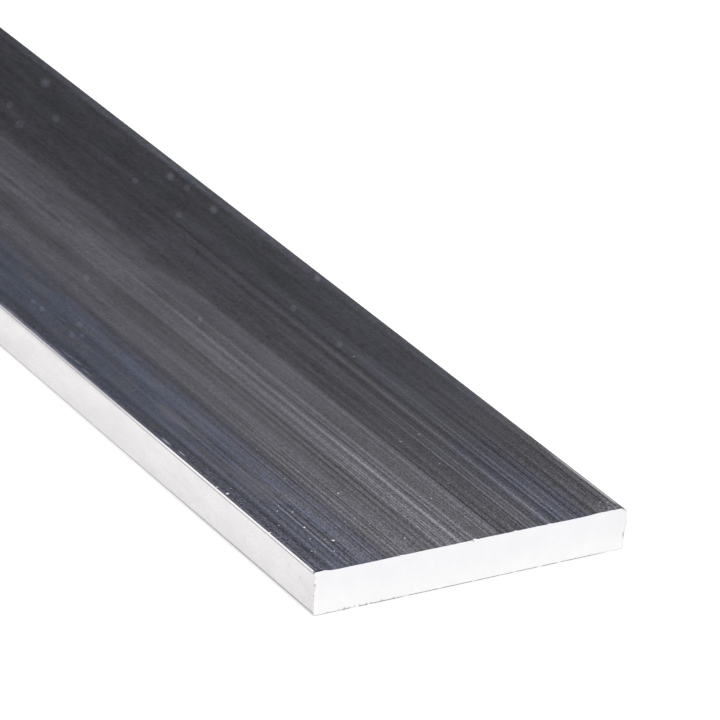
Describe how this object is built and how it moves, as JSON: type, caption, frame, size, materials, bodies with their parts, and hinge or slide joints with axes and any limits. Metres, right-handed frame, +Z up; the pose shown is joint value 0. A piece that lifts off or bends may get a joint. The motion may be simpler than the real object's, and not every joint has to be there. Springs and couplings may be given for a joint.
{
  "type": "metal flat bar",
  "caption": "Straight length of extruded aluminium flat bar, solid rectangular section with slightly rounded long edges and square sawn ends.",
  "frame": {"origin": "centre of the wide face that the bar lies on", "axes": "+X along the bar's length, +Y across its width, +Z up through its thickness"},
  "size_m": [0.3048, 0.0508, 0.0063],
  "materials": {
    "flat_bar": "mill finish as extruded, fine lines along the length, sawn ends"
  },
  "bodies": {
    "root": {"flat_bar": "flat_bar"}
  },
  "joints": []
}
